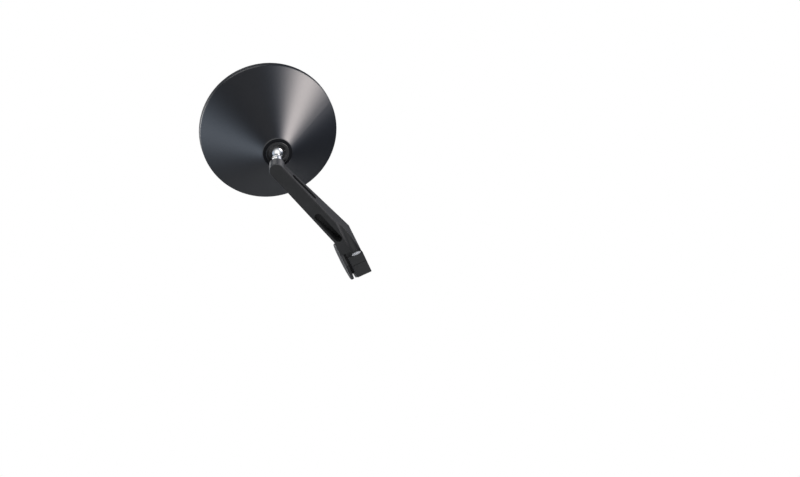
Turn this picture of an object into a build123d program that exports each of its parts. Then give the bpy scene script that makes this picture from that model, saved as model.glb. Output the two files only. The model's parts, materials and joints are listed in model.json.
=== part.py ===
"""Motorcycle bar end mirror for the right-hand bar, in millimetres.

+X runs along the handlebar and outwards, +Y forwards and +Z up. The origin is on the bar's axis,
at the middle of the clamp's grip. A one-piece arm clamps round the bar end and carries a ball stud,
and the funnel-shaped mirror head turns on its ball.
"""
import os
from math import asin, atan, cos, degrees, radians, sin, sqrt, tan

from build123d import *

# Handlebar and clamp
bar_radius = 11.1
ring_wall = 3.3
clamp_length = 11.0
groove_width = 1.7
groove_top = 8.0
groove_back = 6.0
end_plate_thickness = 2.0
end_plate_chamfer = 0.5
shelf_height = 6.2
lug_front_wall = 0.9
lug_front_skew = 9.0
lug_front_draft = 7.0
lug_drop = 16.2
lug_edge_round = 0.8
slit_width = 0.3
slit_height = -0.6

# Pinch bolt
bolt_radius = 2.0
bolt_head_radius = 3.5
bolt_head_height = 4.0
bolt_socket_width = 3.0
bolt_socket_depth = 2.2
bolt_edge_round = 0.35
bolt_inset = 1.2
bolt_wall = 2.0
bolt_reach = 4.6
bolt_hole_clearance = 0.2
bolt_thread_clearance = 0.05
bolt_head_clearance = 0.35
bolt_hole_spare = 0.8

# Arm
arm_length = 72.0
arm_lean = 16.9
arm_twist = 18.8
arm_forward = 14.5
arm_height = 17.1
arm_offset = 3.1
arm_root_width = 11.6
arm_top_width = 10.4
arm_root_depth = 16.0
arm_top_depth = 7.0
arm_neck_start = 2.5
arm_edge_chamfer = 0.45
side_slot_start = 36.5
side_slot_length = 24.5
side_slot_width = 4.0
side_slot_depth = 7.5
face_pocket_start = 1.8
face_pocket_length = 27.0
face_pocket_width = 5.2
face_pocket_offset = 1.2
face_pocket_top_depth = 3.2
face_pocket_root_depth = 11.0
boss_radius = 5.4
boss_length = 8.6
boss_chamfer = 0.5

# Ball stud, whose axis climbs backwards and leans towards the rider
stud_elevation = 18.0
stud_yaw = 21.0
stud_reach = 13.7
ball_radius = 5.0
neck_radius = 2.2
neck_length = 6.5
collar_tip_radius = 2.7
collar_radius = 4.0
collar_cone_length = 2.3
collar_flats = 7.0
shank_radius = 2.9
shank_length = 6.5
shank_clearance = 0.05
shank_hole_spare = 0.6

# Ball joint in the mirror head
head_yaw = 4.9
head_pitch = 3.8
tilt_limit = 33.0
tilt_margin = 5.0
ball_clearance = 0.05
seat_wall = 1.9
front_seat_back = 0.6
front_seat_lip = 0.2
seat_fit = 0.05
ring_lip = 0.75
socket_ring_wall = 1.5
ring_chamfer = 0.3
rear_seat_angle = 44.0
cup_margin = 1.0
cup_floor = 2.4
cup_clearance = 0.1
spring_count = 3
spring_thickness = 0.5
spring_rise = 0.35
spring_radius = 8.0
spring_hole_radius = 4.2
spring_gap = 0.05
plug_thickness = 5.0
plug_socket_width = 8.0
plug_socket_depth = 3.2
plug_chamfer = 0.4

# Mirror housing
head_radius = 49.5
cone_depth = 52.0
cone_end_radius = 11.0
cone_end_height = 2.0
cone_wall = 2.0
rim_height = 7.0
rim_wall = 1.6
rim_round = 1.0
cone_end_chamfer = 0.5
glass_ledge_width = 2.4
glass_ledge_drop = 1.0
hub_wall = 2.5
socket_fit = 0.05

# Mirror glass and what holds it
glass_thickness = 2.0
glass_curve_radius = 1200.0
plate_thickness = 1.2
plate_clearance = 0.15
foam_thickness = 1.0
foam_inset = 1.2
gasket_wall = 0.55
gasket_lip_width = 1.4
gasket_lip_thickness = 0.9
gasket_fit = 0.05

os.makedirs("parts", exist_ok=True)


# Directions and planes that the pieces share
def heading(yaw, climb):
    """Unit direction that points backwards, turned towards the rider by yaw and upwards by climb."""
    return Vector(-sin(radians(yaw)) * cos(radians(climb)), -cos(radians(yaw)) * cos(radians(climb)),
                  sin(radians(climb)))


def profile_plane(centre, axis_direction):
    """Plane for half sections: its x is the radius and its y runs along the axis."""
    across = Vector(0, 0, 1).cross(axis_direction).normalized()
    return Plane(origin=centre, x_dir=across, z_dir=across.cross(axis_direction))


arm_direction = Vector(sin(radians(arm_lean)), 0, cos(radians(arm_lean)))
face_normal = Vector(0, 1, 0).rotate(Axis((0, 0, 0), arm_direction), -arm_twist)
side_normal = arm_direction.cross(face_normal)
arm_start = Vector(arm_offset, arm_forward, arm_height)
boss_point = arm_start + arm_direction * arm_length
arm_face = Plane(origin=arm_start, x_dir=arm_direction, z_dir=face_normal)
arm_side = Plane(origin=arm_start, x_dir=arm_direction, z_dir=side_normal)

stud_direction = heading(stud_yaw, stud_elevation)
ball_centre = boss_point + stud_direction * (boss_length + stud_reach)
head_direction = heading(head_yaw, head_pitch) * -1
stud_axis = Axis(ball_centre, stud_direction)
head_axis = Axis(ball_centre, head_direction)
stud_profile = profile_plane(ball_centre, stud_direction * -1)
seat_profile = profile_plane(ball_centre, stud_direction)
head_profile = profile_plane(ball_centre, head_direction)

# Clamp sizes that follow from the bar and the bolt
ring_radius = bar_radius + ring_wall
side_slot_tilt = degrees(atan((arm_root_depth - arm_top_depth) / (2 * arm_length)))
clamp_inner = -clamp_length / 2
clamp_outer = clamp_length / 2
plate_inner = clamp_outer + groove_width
plate_outer = plate_inner + end_plate_thickness
counterbore_radius = bolt_head_radius + bolt_head_clearance
head_seat_height = shelf_height - bolt_head_height
bolt_forward = sqrt(bar_radius ** 2 - head_seat_height ** 2) + bolt_wall + counterbore_radius
bolt_point = (-bolt_inset, bolt_forward)
bolt_tip = slit_height - bolt_reach


def face_forward(x, z):
    """How far forward the arm's front face lies at one place of the clamp."""
    step = face_normal.X * (x - arm_offset) + face_normal.Z * (z - arm_height)
    return arm_forward - step / face_normal.Y


def lug_corners(drop):
    """Corners of the pinch lug at one depth below its shelf, with a front that leans backwards."""
    front = bolt_forward + counterbore_radius + lug_front_wall - drop * tan(radians(lug_front_draft))
    skew = tan(radians(lug_front_skew))
    inner_front = front + skew * (-bolt_inset - clamp_inner)
    outer_front = front + skew * (-bolt_inset - clamp_outer)
    height = shelf_height - drop
    return [(clamp_inner, 0, height), (clamp_outer, 0, height),
            (clamp_outer, outer_front, height), (clamp_inner, inner_front, height)]


# Corners of the arm's bar and of its root, which spreads to the width of the clamp
ring_half_chord = sqrt(ring_radius ** 2 - shelf_height ** 2)
neck_point = arm_start + arm_direction * arm_neck_start
neck_corners = [
    neck_point + side_normal * (side * arm_root_width / 2) - face_normal * depth
    for side in (-1, 1)
    for depth in (0, arm_root_depth)
]
top_corners = [
    boss_point + side_normal * (side * arm_top_width / 2) - face_normal * depth
    for side in (-1, 1)
    for depth in (0, arm_top_depth)
]
root_corners = [
    (clamp_inner, face_forward(clamp_inner, shelf_height), shelf_height),
    (plate_outer, face_forward(plate_outer, shelf_height), shelf_height),
    (plate_outer, -ring_half_chord, shelf_height),
    (clamp_inner, -ring_half_chord, shelf_height),
]

# Round boss at the arm's top, which takes the ball stud
with BuildPart() as boss:
    with BuildSketch(Plane(origin=boss_point, z_dir=stud_direction).offset(boss_length)):
        Circle(boss_radius)
    extrude(amount=-2 * boss_length)
    chamfer(boss.edges().sort_by(Axis(boss_point, stud_direction))[-1], boss_chamfer)
    split(bisect_by=arm_face, keep=Keep.BOTTOM)
    boss_front = boss.faces().sort_by(Axis(arm_start, face_normal))[-1]
    chamfer(boss_front.edges(), arm_edge_chamfer)

# Pocket in the arm's front face, with a floor that runs deeper towards the clamp
floor_rise = face_pocket_root_depth - face_pocket_top_depth
floor_run = arm_direction * face_pocket_length + face_normal * floor_rise
floor_start = arm_start + arm_direction * face_pocket_start - face_normal * face_pocket_root_depth
with BuildPart() as face_pocket:
    with BuildSketch(arm_face):
        with Locations((face_pocket_start + face_pocket_length / 2, face_pocket_offset)):
            SlotOverall(face_pocket_length, face_pocket_width)
    extrude(amount=-face_pocket_root_depth)
    split(bisect_by=Plane(origin=floor_start, x_dir=floor_run, z_dir=floor_run.cross(arm_face.y_dir)))

# Tapered bar of the arm with its spreading root
with BuildPart() as arm_bar:
    ConvexPolyhedron(neck_corners + root_corners)
    ConvexPolyhedron(neck_corners + top_corners)
    front_face = arm_bar.faces().sort_by(Axis(arm_start, face_normal))[-1]
    chamfer(front_face.edges().sort_by(SortBy.LENGTH)[-2:], arm_edge_chamfer)

# Pinch lug, whose front leans backwards as it goes down
with BuildPart() as pinch_lug:
    ConvexPolyhedron(lug_corners(0) + lug_corners(lug_drop))
    lug_front = pinch_lug.faces().sort_by(Axis.Y)[-1]
    fillet(lug_front.edges().sort_by(Axis.Z)[1:-1], lug_edge_round)

# Arm with its clamp, machined from one billet
with BuildPart() as arm:
    # Ring round the bar, with the plate that closes its end
    with BuildSketch(Plane.YZ.offset(clamp_inner)):
        Circle(ring_radius)
    extrude(amount=plate_outer - clamp_inner)
    chamfer(arm.edges().filter_by(GeomType.CIRCLE), end_plate_chamfer)
    # Pinch lug, bar and boss
    add(pinch_lug.part)
    add(arm_bar.part)
    add(boss.part)
    # Blind bore for the bar, and the groove that frees the ring from the end plate
    with BuildSketch(Plane.YZ.offset(plate_inner)):
        Circle(bar_radius)
    extrude(amount=clamp_inner - plate_inner - arm_root_width, mode=Mode.SUBTRACT)
    with BuildSketch(Plane.YZ.offset(clamp_outer)):
        with Locations((-groove_back, groove_top)):
            Rectangle(4 * ring_radius, 4 * ring_radius, align=(Align.MIN, Align.MAX))
    extrude(amount=groove_width, mode=Mode.SUBTRACT)
    # Slit through the lug, and the bolt's holes with the channel that a key reaches it by
    with BuildSketch(Plane.XY.offset(slit_height - slit_width / 2)):
        with Locations((0, bar_radius / 2)):
            Rectangle(2 * clamp_length, 2 * ring_radius, align=(Align.CENTER, Align.MIN))
    extrude(amount=slit_width, mode=Mode.SUBTRACT)
    with BuildSketch(Plane.XY.offset(head_seat_height)):
        with Locations(bolt_point):
            Circle(counterbore_radius)
    extrude(amount=arm_length, mode=Mode.SUBTRACT)
    with BuildSketch(Plane.XY.offset(head_seat_height)):
        with Locations(bolt_point):
            Circle(bolt_radius + bolt_hole_clearance)
    extrude(amount=slit_height - head_seat_height, mode=Mode.SUBTRACT)
    with BuildSketch(Plane.XY.offset(slit_height)):
        with Locations(bolt_point):
            Circle(bolt_radius + bolt_thread_clearance)
    extrude(amount=-bolt_reach - bolt_hole_spare, mode=Mode.SUBTRACT)
    # Slot along the arm's inner side, pocket in its front face and blind hole for the stud
    slot_middle = side_slot_start + side_slot_length / 2
    slot_depth_here = arm_root_depth + (arm_top_depth - arm_root_depth) * slot_middle / arm_length
    with BuildSketch(arm_side.offset(arm_root_width / 2)):
        with Locations((slot_middle, -slot_depth_here / 2)):
            SlotOverall(side_slot_length, side_slot_width, rotation=side_slot_tilt)
    extrude(amount=-side_slot_depth, mode=Mode.SUBTRACT)
    add(face_pocket.part, mode=Mode.SUBTRACT)
    with BuildSketch(Plane(origin=boss_point, z_dir=stud_direction).offset(boss_length)):
        Circle(shank_radius + shank_clearance)
    extrude(amount=-shank_length - shank_hole_spare, mode=Mode.SUBTRACT)

arm.part.label = "arm"
export_step(arm.part, "parts/arm.step")

# Socket-head pinch bolt
with BuildPart() as pinch_bolt:
    with BuildSketch(Plane.XY.offset(head_seat_height)):
        with Locations(bolt_point):
            Circle(bolt_head_radius)
    extrude(amount=bolt_head_height)
    fillet(pinch_bolt.edges().sort_by(Axis.Z)[-1], bolt_edge_round)
    with BuildSketch(Plane.XY.offset(shelf_height)):
        with Locations(bolt_point):
            RegularPolygon(bolt_socket_width / 2, 6, major_radius=False)
    extrude(amount=-bolt_socket_depth, mode=Mode.SUBTRACT)
    with BuildSketch(Plane.XY.offset(head_seat_height)):
        with Locations(bolt_point):
            Circle(bolt_radius)
    extrude(amount=bolt_tip - head_seat_height)

pinch_bolt.part.label = "pinch_bolt"
export_step(pinch_bolt.part, "parts/pinch_bolt.step")

# Ball stud, whose shank sits in the arm's boss
with BuildPart() as ball_stud:
    with BuildSketch(stud_profile):
        with BuildLine():
            neck_root = sqrt(ball_radius ** 2 - neck_radius ** 2)
            ThreePointArc((0, -ball_radius), (ball_radius, 0), (neck_radius, neck_root))
            Polyline((neck_radius, neck_root), (neck_radius, neck_length), (collar_tip_radius, neck_length),
                     (collar_radius, neck_length + collar_cone_length), (collar_radius, stud_reach),
                     (shank_radius, stud_reach), (shank_radius, stud_reach + shank_length),
                     (0, stud_reach + shank_length), (0, -ball_radius))
        make_face()
    revolve(axis=stud_axis)
    # Two spanner flats on the collar
    collar_end = Plane(origin=ball_centre - stud_direction * stud_reach, x_dir=stud_profile.x_dir,
                       z_dir=stud_direction)
    with BuildSketch(collar_end):
        with Locations((0, collar_flats / 2)):
            Rectangle(4 * collar_radius, collar_radius, align=(Align.CENTER, Align.MIN))
        with Locations((0, -collar_flats / 2)):
            Rectangle(4 * collar_radius, collar_radius, align=(Align.CENTER, Align.MAX))
    extrude(amount=stud_reach - neck_length - collar_cone_length, mode=Mode.SUBTRACT)

ball_stud.part.label = "ball_stud"
export_step(ball_stud.part, "parts/ball_stud.step")

# Radii and heights of the ball joint, along the head's axis from the ball's centre
opening_angle = tilt_limit + degrees(asin(neck_radius / ball_radius)) + tilt_margin
opening_slope = tan(radians(opening_angle))
seat_radius = ball_radius + ball_clearance
rear_seat_radius = ball_radius + seat_wall
cup_radius = rear_seat_radius + ball_clearance
front_seat_radius = ball_radius + seat_wall
front_seat_top = seat_radius * cos(radians(opening_angle)) + front_seat_lip
ring_seat = front_seat_top + seat_fit
ring_top = ring_seat + ring_lip
recess_radius = front_seat_radius + seat_fit
socket_radius = recess_radius + socket_ring_wall
hub_bore_radius = socket_radius + socket_fit
cup_angle = radians(tilt_limit + rear_seat_angle + cup_margin)
cup_rim = -cup_radius * cos(cup_angle)
cup_back = -cup_radius - cup_floor
springs_top = cup_back - spring_gap
spring_pitch = spring_thickness + spring_rise + spring_gap
plug_top = springs_top - spring_count * spring_pitch
plug_bottom = plug_top - plug_thickness

# Rear seat: a bowl that turns with the stud's axis behind the ball
with BuildPart() as rear_seat:
    with BuildSketch(seat_profile):
        with BuildLine():
            inner_arc = CenterArc((0, 0), seat_radius, 90, -rear_seat_angle)
            outer_arc = CenterArc((0, 0), rear_seat_radius, 90, -rear_seat_angle)
            Line(inner_arc @ 0, outer_arc @ 0)
            Line(inner_arc @ 1, outer_arc @ 1)
        make_face()
    revolve(axis=stud_axis)

rear_seat.part.label = "rear_seat"
export_step(rear_seat.part, "parts/rear_seat.step")

# Thrust cup, which the springs press against the rear seat
with BuildPart() as thrust_cup:
    with BuildSketch(head_profile):
        with BuildLine():
            bowl = CenterArc((0, 0), cup_radius, -90, degrees(cup_angle))
            Polyline(bowl @ 1, (hub_bore_radius - cup_clearance, cup_rim),
                     (hub_bore_radius - cup_clearance, cup_back), (0, cup_back), bowl @ 0)
        make_face()
    revolve(axis=head_axis)

thrust_cup.part.label = "thrust_cup"
export_step(thrust_cup.part, "parts/thrust_cup.step")

# Front seat ring, which keeps the ball in the socket
with BuildPart() as front_seat:
    with BuildSketch(head_profile):
        with BuildLine():
            seat_start = degrees(asin(-front_seat_back / seat_radius))
            bearing = CenterArc((0, 0), seat_radius, seat_start, 90 - opening_angle - seat_start)
            Polyline(bearing @ 1, (front_seat_top * opening_slope, front_seat_top),
                     (front_seat_radius, front_seat_top), (front_seat_radius, -front_seat_back),
                     bearing @ 0)
        make_face()
    revolve(axis=head_axis)

front_seat.part.label = "front_seat"
export_step(front_seat.part, "parts/front_seat.step")

# Socket ring, which holds the front seat in the mouth of the hub
with BuildPart() as socket_ring:
    with BuildSketch(head_profile):
        with BuildLine():
            Polyline((recess_radius, -front_seat_back), (recess_radius, ring_seat),
                     (ring_seat * opening_slope, ring_seat), (ring_top * opening_slope, ring_top),
                     (socket_radius - ring_chamfer, ring_top), (socket_radius, ring_top - ring_chamfer),
                     (socket_radius, -front_seat_back), close=True)
        make_face()
    revolve(axis=head_axis)

socket_ring.part.label = "socket_ring"
export_step(socket_ring.part, "parts/socket_ring.step")

# Disc springs, stacked face to face and back to back
with BuildPart() as disc_springs:
    with BuildSketch(head_profile):
        for place in range(spring_count):
            top = springs_top - place * spring_pitch
            inner_drop = spring_rise * (place % 2)
            outer_drop = spring_rise - inner_drop
            with BuildLine():
                Polyline((spring_hole_radius, top - inner_drop), (spring_radius, top - outer_drop),
                         (spring_radius, top - outer_drop - spring_thickness),
                         (spring_hole_radius, top - inner_drop - spring_thickness), close=True)
            make_face()
    revolve(axis=head_axis)

disc_springs.part.label = "disc_springs"
export_step(disc_springs.part, "parts/disc_springs.step")

# Adjuster plug, which is screwed into the hub to load the springs
with BuildPart() as adjuster_plug:
    with BuildSketch(Plane(origin=ball_centre, z_dir=head_direction).offset(plug_bottom)):
        Circle(socket_radius)
    extrude(amount=plug_thickness)
    with BuildSketch(Plane(origin=ball_centre, z_dir=head_direction).offset(plug_bottom)):
        RegularPolygon(plug_socket_width / 2, 6, major_radius=False)
    extrude(amount=plug_socket_depth, mode=Mode.SUBTRACT)
    chamfer(adjuster_plug.edges().filter_by(GeomType.CIRCLE), plug_chamfer)

adjuster_plug.part.label = "adjuster_plug"
export_step(adjuster_plug.part, "parts/adjuster_plug.step")

# Radii and heights of the mirror head, along its axis from the ball's centre
cone_start = cone_end_height - cone_end_chamfer
cone_base = cone_end_height - cone_depth
rim_bottom = cone_base - rim_height
cone_slope = (head_radius - cone_end_radius) / (cone_start - cone_base)
cone_wall_across = cone_wall * sqrt(1 + cone_slope ** 2)
hub_radius = hub_bore_radius + hub_wall
hub_top = cone_start - (hub_radius - cone_end_radius + cone_wall_across) / cone_slope
rim_inner_radius = head_radius - rim_wall
ledge_radius = rim_inner_radius - glass_ledge_width
ledge_top = cone_start - (ledge_radius - cone_end_radius + cone_wall_across) / cone_slope
ledge = cone_base - glass_ledge_drop
plate_front = ledge - plate_thickness
glass_back = plate_front - foam_thickness
gasket_radius = rim_inner_radius - gasket_fit
glass_radius = gasket_radius - gasket_wall - gasket_fit


def bend(radius):
    """How far the bent glass falls back from its middle at one radius."""
    return glass_curve_radius - sqrt(glass_curve_radius ** 2 - radius ** 2)


glass_middle = glass_back - bend(glass_radius)

# Funnel-shaped mirror housing with the hub of the ball joint
with BuildPart() as mirror_housing:
    with BuildSketch(head_profile):
        with BuildLine():
            Polyline((hub_bore_radius, cone_end_height),
                     (cone_end_radius - cone_end_chamfer, cone_end_height),
                     (cone_end_radius, cone_start), (head_radius, cone_base), (head_radius, rim_bottom),
                     (rim_inner_radius, rim_bottom), (rim_inner_radius, ledge), (ledge_radius, ledge),
                     (ledge_radius, ledge_top), (hub_radius, hub_top), (hub_radius, plug_bottom),
                     (hub_bore_radius, plug_bottom), close=True)
        make_face()
    revolve(axis=head_axis)
    rim_edges = mirror_housing.edges().group_by(head_axis)[0]
    fillet(rim_edges.sort_by(SortBy.RADIUS)[-1], rim_round)

mirror_housing.part.label = "mirror_housing"
export_step(mirror_housing.part, "parts/mirror_housing.step")

# Backing plate on the housing's ledge
with BuildPart() as backing_plate:
    with BuildSketch(Plane(origin=ball_centre, z_dir=head_direction).offset(plate_front)):
        Circle(rim_inner_radius - plate_clearance)
    extrude(amount=plate_thickness)

backing_plate.part.label = "backing_plate"
export_step(backing_plate.part, "parts/backing_plate.step")

# Foam pad, flat behind and following the glass in front
with BuildPart() as foam_pad:
    with BuildSketch(head_profile):
        with BuildLine():
            foam_radius = glass_radius - foam_inset
            foam_edge = glass_middle + bend(foam_radius)
            Polyline((0, glass_middle), (0, plate_front), (foam_radius, plate_front),
                     (foam_radius, foam_edge))
            RadiusArc((foam_radius, foam_edge), (0, glass_middle), glass_curve_radius)
        make_face()
    revolve(axis=head_axis)

foam_pad.part.label = "foam_pad"
export_step(foam_pad.part, "parts/foam_pad.step")

# Round convex mirror glass
with BuildPart() as mirror_glass:
    with BuildSketch(head_profile):
        with BuildLine():
            Polyline((glass_radius, glass_back), (glass_radius, glass_back - glass_thickness))
            RadiusArc((glass_radius, glass_back - glass_thickness), (0, glass_middle - glass_thickness),
                      glass_curve_radius)
            Polyline((0, glass_middle - glass_thickness), (0, glass_middle))
            RadiusArc((0, glass_middle), (glass_radius, glass_back), -glass_curve_radius)
        make_face()
    revolve(axis=head_axis)

mirror_glass.part.label = "mirror_glass"
export_step(mirror_glass.part, "parts/mirror_glass.step")

# Rim gasket, whose lip laps over the glass
with BuildPart() as rim_gasket:
    with BuildSketch(head_profile):
        with BuildLine():
            lip_radius = glass_radius - gasket_lip_width
            lip_back = glass_middle + bend(lip_radius) - glass_thickness - gasket_fit
            gasket_bore = glass_radius + gasket_fit
            gasket_back = plate_front - gasket_fit
            Polyline((gasket_radius, gasket_back), (gasket_bore, gasket_back), (gasket_bore, lip_back),
                     (lip_radius, lip_back),
                     (lip_radius, lip_back - gasket_lip_thickness),
                     (gasket_radius, lip_back - gasket_lip_thickness), close=True)
        make_face()
    revolve(axis=head_axis)

rim_gasket.part.label = "rim_gasket"
export_step(rim_gasket.part, "parts/rim_gasket.step")
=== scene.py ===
import json
from math import cos, radians, sin

import bpy
from mathutils import Matrix, Vector


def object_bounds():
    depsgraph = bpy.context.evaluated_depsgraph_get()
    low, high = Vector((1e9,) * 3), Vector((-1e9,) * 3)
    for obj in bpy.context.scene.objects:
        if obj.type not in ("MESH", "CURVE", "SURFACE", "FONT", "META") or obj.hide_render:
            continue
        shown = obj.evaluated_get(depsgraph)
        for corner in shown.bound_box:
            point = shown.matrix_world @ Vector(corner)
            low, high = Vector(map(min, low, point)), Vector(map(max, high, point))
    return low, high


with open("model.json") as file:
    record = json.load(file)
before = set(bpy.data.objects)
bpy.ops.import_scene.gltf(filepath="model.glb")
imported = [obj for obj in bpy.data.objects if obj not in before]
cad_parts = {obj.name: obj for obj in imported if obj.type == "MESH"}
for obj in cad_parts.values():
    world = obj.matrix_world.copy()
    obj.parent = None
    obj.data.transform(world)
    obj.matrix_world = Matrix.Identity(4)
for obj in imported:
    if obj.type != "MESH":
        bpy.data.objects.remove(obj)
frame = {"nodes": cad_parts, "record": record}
cad_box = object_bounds()

# Joint places and directions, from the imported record
joints = {joint["name"]: joint for joint in frame["record"]["behaviour"]["joints"]}
ball_centre = Vector(joints["head_spin"]["pos_m"])
head_axis = Vector(joints["head_spin"]["axis"]).normalized()
stud_axis = Vector(joints["head_swivel"]["axis"]).normalized()
upwards = Vector((0, 0, 1))
arm_lean = radians(16.9)
arm_axis = Vector((sin(arm_lean), 0.0, cos(arm_lean)))

# Camera axes in the part's frame: the photograph looks at the mirror's back, from the front and above
camera_right = Vector((-0.8881, 0.1981, -0.4146)).normalized()
camera_back = Vector((0.08, 0.9551, 0.2850)).normalized()
camera_up = camera_back.cross(camera_right).normalized()
camera_right = camera_up.cross(camera_back)
view_point = Vector((-0.03507, 0.00376, -0.00276))
view_distance = 4.0
view_width = 0.5714
view_reach = 50.0
sensor_width = 36.0

# Noise in the finishes: scales per metre, and the part of each noise's range that is used
metal_cloud_scale = 180.0
metal_speck_scale = 2600.0
plain_cloud_scale = 120.0
noise_range = (0.3, 0.7)
line_range = (0.25, 0.75)
speck_gloss = (-0.02, 0.03)
line_strength = 0.5
grain_strength = 0.4
edge_samples = 12


def shader(name):
    """A new material with its node tree and its Principled shader."""
    mat = bpy.data.materials.new(name)
    mat.use_nodes = True
    tree = mat.node_tree
    return mat, tree, tree.nodes["Principled BSDF"]


def add_node(tree, kind, **values):
    """A node with the given properties and input values."""
    made = tree.nodes.new(kind)
    for key, value in values.items():
        if key in made.bl_rna.properties:
            setattr(made, key, value)
        else:
            made.inputs[key].default_value = value
    return made


def combine(tree, operation, *values):
    """A Math node over links or plain numbers."""
    made = add_node(tree, "ShaderNodeMath", operation=operation)
    for socket, value in zip(made.inputs, values):
        if isinstance(value, float):
            socket.default_value = value
        else:
            tree.links.new(value, socket)
    return made.outputs["Value"]


def noise(tree, coords, scale, detail=4.0, roughness=0.55):
    """Noise factor over the given coordinates."""
    made = add_node(tree, "ShaderNodeTexNoise", Scale=scale, Detail=detail, Roughness=roughness)
    tree.links.new(coords, made.inputs["Vector"])
    return made.outputs["Fac"]


def remap(tree, value, from_range, to_range):
    """The value moved from one range to another, smoothly."""
    made = add_node(tree, "ShaderNodeMapRange", interpolation_type="SMOOTHSTEP")
    for key, number in zip(("From Min", "From Max", "To Min", "To Max"), (*from_range, *to_range)):
        made.inputs[key].default_value = number
    tree.links.new(value, made.inputs["Value"])
    return made.outputs["Result"]


def mix_colour(tree, factor, first, second):
    """A blend between two colours."""
    made = add_node(tree, "ShaderNodeMix", data_type="RGBA")
    made.inputs["A"].default_value = (*first, 1)
    made.inputs["B"].default_value = (*second, 1)
    tree.links.new(factor, made.inputs["Factor"])
    return made.outputs["Result"]


def bump(tree, bsdf, height, strength, distance, edge_radius=0.0):
    """Fine relief on a shader, over edges that are slightly rounded where a radius is given."""
    made = add_node(tree, "ShaderNodeBump", Strength=strength, Distance=distance)
    tree.links.new(height, made.inputs["Height"])
    if edge_radius > 0:
        rounded = add_node(tree, "ShaderNodeBevel", samples=edge_samples, Radius=edge_radius)
        tree.links.new(rounded.outputs["Normal"], made.inputs["Normal"])
    tree.links.new(made.outputs["Normal"], bsdf.inputs["Normal"])


def object_coords(tree):
    """Coordinates in the part's frame, in metres."""
    return add_node(tree, "ShaderNodeTexCoord").outputs["Object"]


def along(tree, coords, origin, direction):
    """Distance along a direction from a point."""
    shifted = add_node(tree, "ShaderNodeVectorMath", operation="SUBTRACT")
    tree.links.new(coords, shifted.inputs[0])
    shifted.inputs[1].default_value = origin
    dotted = add_node(tree, "ShaderNodeVectorMath", operation="DOT_PRODUCT")
    tree.links.new(shifted.outputs["Vector"], dotted.inputs[0])
    dotted.inputs[1].default_value = direction
    return dotted.outputs["Value"]


def lines(tree, value, per_metre):
    """Uneven fine lines across one distance, as a turning or milling tool leaves them."""
    spread = add_node(tree, "ShaderNodeCombineXYZ")
    tree.links.new(value, spread.inputs["X"])
    return noise(tree, spread.outputs["Vector"], per_metre, detail=3.0, roughness=0.7)


def finish_metal(name, colours, roughness, line_axis, lines_per_metre, line_depth,
                 metallic=0.0, specular=0.5, edge_radius=0.0):
    """Metal or painted metal with tool lines, cloudy colour and uneven gloss."""
    mat, tree, bsdf = shader(name)
    coords = object_coords(tree)
    cloud = noise(tree, coords, metal_cloud_scale)
    colour = mix_colour(tree, remap(tree, cloud, noise_range, (0.0, 1.0)), *colours)
    tree.links.new(colour, bsdf.inputs["Base Color"])
    marks = lines(tree, along(tree, coords, ball_centre, line_axis), lines_per_metre)
    speck = noise(tree, coords, metal_speck_scale, detail=2.0)
    gloss = combine(tree, "ADD", remap(tree, marks, line_range, roughness),
                    remap(tree, speck, noise_range, speck_gloss))
    tree.links.new(gloss, bsdf.inputs["Roughness"])
    bsdf.inputs["Metallic"].default_value = metallic
    bsdf.inputs["Specular IOR Level"].default_value = specular
    bump(tree, bsdf, marks, line_strength, line_depth, edge_radius)
    return mat


def finish_plain(name, colours, roughness, specular, grain_scale, grain_depth):
    """Moulded plastic, foam or rubber with a fine grain."""
    mat, tree, bsdf = shader(name)
    coords = object_coords(tree)
    cloud = noise(tree, coords, plain_cloud_scale)
    tree.links.new(mix_colour(tree, cloud, *colours), bsdf.inputs["Base Color"])
    fine = noise(tree, coords, grain_scale, detail=3.0)
    tree.links.new(remap(tree, fine, noise_range, roughness), bsdf.inputs["Roughness"])
    bsdf.inputs["Specular IOR Level"].default_value = specular
    bump(tree, bsdf, fine, grain_strength, grain_depth)
    return mat


housing = finish_metal(
    "housing_satin", colours=((0.0032, 0.0038, 0.0058), (0.0044, 0.0050, 0.0074)), roughness=(0.28, 0.34),
    line_axis=head_axis, lines_per_metre=2600.0, line_depth=0.00002, specular=1.0, edge_radius=0.0018)
arm = finish_metal(
    "arm_anodised", colours=((0.023, 0.0234, 0.024), (0.029, 0.0294, 0.030)), roughness=(0.34, 0.42),
    line_axis=arm_axis, lines_per_metre=3200.0, line_depth=0.00002, specular=0.32, edge_radius=0.0003)
# Painted highlight: the arm's finish made paler and glossier for the boss's turned side, standing in for
# light falling on it
boss = finish_metal(
    "boss_turned_painted_highlight", colours=((0.042, 0.043, 0.046), (0.054, 0.055, 0.058)), roughness=(0.30, 0.40),
    line_axis=stud_axis, lines_per_metre=6000.0, line_depth=0.00002, edge_radius=0.0003)
mouth = finish_metal(
    "mouth_anodised", colours=((0.0040, 0.0045, 0.0065), (0.0055, 0.0060, 0.0080)), roughness=(0.34, 0.40),
    line_axis=head_axis, lines_per_metre=2600.0, line_depth=0.00002, specular=0.12)
ring = finish_metal(
    "ring_anodised", colours=((0.006, 0.006, 0.007), (0.009, 0.009, 0.010)), roughness=(0.20, 0.28),
    line_axis=head_axis, lines_per_metre=5000.0, line_depth=0.00001, specular=0.45)
chrome = finish_metal(
    "stud_chrome", colours=((0.80, 0.80, 0.80), (0.86, 0.86, 0.86)), roughness=(0.14, 0.20),
    line_axis=stud_axis, lines_per_metre=5000.0, line_depth=0.000002, metallic=1.0)
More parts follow.
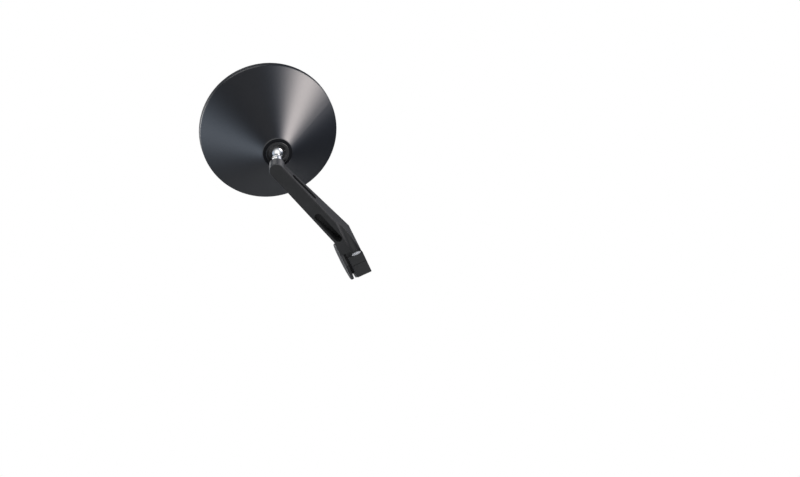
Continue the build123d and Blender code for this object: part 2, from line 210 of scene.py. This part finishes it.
# Partly painted highlight: a real pale plated bolt, made whiter and less metallic than plating, so its head
# shows bright under diffuse light where a mirrored highlight would be
bolt = finish_metal(
    "bolt_zinc_painted_highlight", colours=((0.86, 0.87, 0.89), (0.92, 0.93, 0.94)), roughness=(0.44, 0.56),
    line_axis=upwards, lines_per_metre=4000.0, line_depth=0.000005, metallic=0.35)
steel = finish_metal(
    "turned_steel", colours=((0.40, 0.40, 0.41), (0.50, 0.50, 0.50)), roughness=(0.25, 0.38),
    line_axis=head_axis, lines_per_metre=4000.0, line_depth=0.000008, metallic=1.0)
acetal = finish_plain(
    "seat_acetal", colours=((0.010, 0.010, 0.010), (0.014, 0.014, 0.014)), roughness=(0.35, 0.5),
    specular=0.4, grain_scale=2200.0, grain_depth=0.00001)
plastic = finish_plain(
    "plate_plastic", colours=((0.018, 0.018, 0.018), (0.026, 0.026, 0.026)), roughness=(0.45, 0.6),
    specular=0.4, grain_scale=1500.0, grain_depth=0.00002)
foam = finish_plain(
    "pad_foam", colours=((0.03, 0.03, 0.03), (0.05, 0.05, 0.05)), roughness=(0.85, 0.95),
    specular=0.2, grain_scale=900.0, grain_depth=0.0001)
rubber = finish_plain(
    "gasket_rubber", colours=((0.010, 0.010, 0.010), (0.016, 0.016, 0.016)), roughness=(0.55, 0.7),
    specular=0.3, grain_scale=1800.0, grain_depth=0.00002)
mirror = finish_metal(
    "mirror_face", colours=((0.84, 0.87, 0.88), (0.86, 0.88, 0.89)), roughness=(0.015, 0.025),
    line_axis=head_axis, lines_per_metre=50.0, line_depth=0.0, metallic=1.0)

node_materials = {
    "arm": arm, "pinch_bolt": bolt, "ball_stud": chrome, "rear_seat": acetal, "thrust_cup": steel,
    "mirror_housing": housing, "socket_ring": ring, "front_seat": acetal, "disc_springs": steel,
    "adjuster_plug": steel, "backing_plate": plastic, "foam_pad": foam, "mirror_glass": mirror,
    "rim_gasket": rubber,
}
for node_name, mat in node_materials.items():
    slots = frame["nodes"][node_name].data.materials
    slots.clear()
    slots.append(mat)


def finish_near_axis(node_name, mat, axis, reach, chosen):
    """A second finish on the faces of a node that lie near an axis through the ball and face as chosen."""
    mesh = frame["nodes"][node_name].data
    mesh.materials.append(mat)
    for polygon in mesh.polygons:
        offset = polygon.center - ball_centre
        from_axis = offset - axis * offset.dot(axis)
        if from_axis.length < reach and chosen(polygon.normal.dot(axis)):
            polygon.material_index = 1


# The turned face round the funnel's mouth is darker than the satin side. The boss's turned side gets a paler,
# glossier copy of the arm's finish: a painted highlight for the light that falls on it
square_on = 0.9
mouth_reach = 0.0115
boss_reach = 0.0057
finish_near_axis("mirror_housing", mouth, head_axis, mouth_reach, lambda facing: facing > square_on)
finish_near_axis("arm", boss, stud_axis, boss_reach, lambda facing: abs(facing) < square_on)

# The glass is shaded evenly up to its centre
glass_modifiers = frame["nodes"]["mirror_glass"].modifiers
glass_modifiers.new("join_centre", "WELD").merge_threshold = 1e-6
glass_modifiers.new("keep_edges", "EDGE_SPLIT").split_angle = radians(30.0)
glass_modifiers.new("even_shading", "WEIGHTED_NORMAL").mode = "FACE_AREA"

# Floor, well below the part, which hangs from the bar
floor_drop = 0.6
floor_radius = 0.35
floor_sides = 96
floor_colour = (0.82, 0.82, 0.82, 1)
floor_roughness = 0.8
bpy.ops.mesh.primitive_circle_add(vertices=floor_sides, radius=floor_radius, fill_type="NGON",
                                  location=(0, 0, cad_box[0][2] - floor_drop))
floor = bpy.context.object
floor.name = "floor"
floor_mat, _, floor_bsdf = shader("floor_pale")
floor_bsdf.inputs["Base Color"].default_value = floor_colour
floor_bsdf.inputs["Roughness"].default_value = floor_roughness
floor.data.materials.append(floor_mat)

# World: white wherever the camera sees it. Metal and glass show that white only straight behind the part,
# between these cosines of the angle from there, because the black funnel mirrors dark surroundings.
backdrop_edge = (0.97, 0.995)
world = bpy.data.worlds.new("studio")
bpy.context.scene.world = world
world.use_nodes = True
sky_tree = world.node_tree
sky_rays = add_node(sky_tree, "ShaderNodeLightPath").outputs
sky_coords = add_node(sky_tree, "ShaderNodeTexCoord").outputs["Generated"]
sky_output = sky_tree.nodes["World Output"]
sky_centre = Vector((0, 0, 0))
straight_behind = remap(sky_tree, along(sky_tree, sky_coords, sky_centre, -camera_back),
                        backdrop_edge, (0.0, 1.0))
mirrored = combine(sky_tree, "MAXIMUM", sky_rays["Is Glossy Ray"], sky_rays["Is Transmission Ray"])
mirrored_behind = combine(sky_tree, "MULTIPLY", mirrored, straight_behind)
white = sky_tree.nodes["Background"]
white.inputs["Color"].default_value = (1, 1, 1, 1)
sky_tree.links.new(combine(sky_tree, "MAXIMUM", sky_rays["Is Camera Ray"], mirrored_behind),
                   white.inputs["Strength"])
sky_tree.links.new(white.outputs["Background"], sky_output.inputs["Surface"])
unseen = combine(sky_tree, "SUBTRACT", 1.0, sky_rays["Is Camera Ray"])

# Lean of the funnel's side and of its rounded shoulder towards the head's axis
cone_lean = radians(36.8)
shoulder_lean = radians(16.0)


def funnel_reflection(clock, lean=cone_lean):
    """Direction that the funnel mirrors to the camera at one place round it, in degrees from its top."""
    across = camera_up * cos(radians(clock)) + camera_right * sin(radians(clock))
    radial = (across - head_axis * across.dot(head_axis)).normalized()
    normal = radial * cos(lean) + head_axis * sin(lean)
    return (normal * (2 * normal.dot(camera_back)) - camera_back).normalized()


def glow(direction, narrowness, strength, colour):
    """A soft light far away that fades with the angle from its direction, and that the camera doesn't see."""
    facing = combine(sky_tree, "MAXIMUM", along(sky_tree, sky_coords, sky_centre, direction), 0.0)
    faded = combine(sky_tree, "MULTIPLY", combine(sky_tree, "POWER", facing, narrowness), strength)
    lit = add_node(sky_tree, "ShaderNodeBackground", Color=(*colour, 1))
    sky_tree.links.new(combine(sky_tree, "MULTIPLY", faded, unseen), lit.inputs["Strength"])
    both = add_node(sky_tree, "ShaderNodeAddShader")
    sky_tree.links.new(sky_output.inputs["Surface"].links[0].from_socket, both.inputs[0])
    sky_tree.links.new(lit.outputs["Background"], both.inputs[1])
    sky_tree.links.new(both.outputs["Shader"], sky_output.inputs["Surface"])


# Direction, narrowness, strength and colour of each soft light
plain_white = (1, 1, 1)
glows = {
    "room": (upwards, 0.0, 0.07, (0.85, 0.95, 1.15)),
    "key": (funnel_reflection(32.3), 16.0, 7.2, (1.0, 0.88, 0.81)),
    "key_flanks": (funnel_reflection(31.0), 7.0, 0.9, (0.55, 0.85, 1.25)),
    "window": (funnel_reflection(-82.0), 8.0, 0.92, (0.74, 0.88, 1.08)),
    "low_fill": (funnel_reflection(-150.0), 4.0, 0.13, plain_white),
    "front_fill": (camera_back, 3.0, 1.6, plain_white),
    "shoulder_line": (funnel_reflection(-78.0, shoulder_lean), 40.0, 8.0, plain_white),
}
for settings in glows.values():
    glow(*settings)

# One lamp above and behind, for the tops of the arm and the bolt
lamp_direction = Vector((-0.1, -0.6, 0.8)).normalized()
lamp_distance = 1.5
lamp_size = 0.9
lamp_power = 4.0
lamp_data = bpy.data.lights.new("top_back", "AREA")
lamp_data.size = lamp_size
lamp_data.energy = lamp_power
lamp = bpy.data.objects.new("top_back", lamp_data)
bpy.context.collection.objects.link(lamp)
lamp.location = ball_centre + lamp_direction * lamp_distance
lamp.rotation_euler = lamp_direction.to_track_quat("Z", "Y").to_euler()

# Long lens at the photograph's viewing angle
camera_data = bpy.data.cameras.new("photo_camera")
camera_data.sensor_width = sensor_width
camera_data.lens = sensor_width * view_distance / view_width
camera_data.clip_end = view_reach
camera = bpy.data.objects.new("photo_camera", camera_data)
bpy.context.collection.objects.link(camera)
rotation = Matrix((camera_right, camera_up, camera_back)).transposed()
camera.matrix_world = Matrix.Translation(view_point + camera_back * view_distance) @ rotation.to_4x4()
bpy.context.scene.camera = camera
bpy.context.scene.view_settings.view_transform = "Standard"
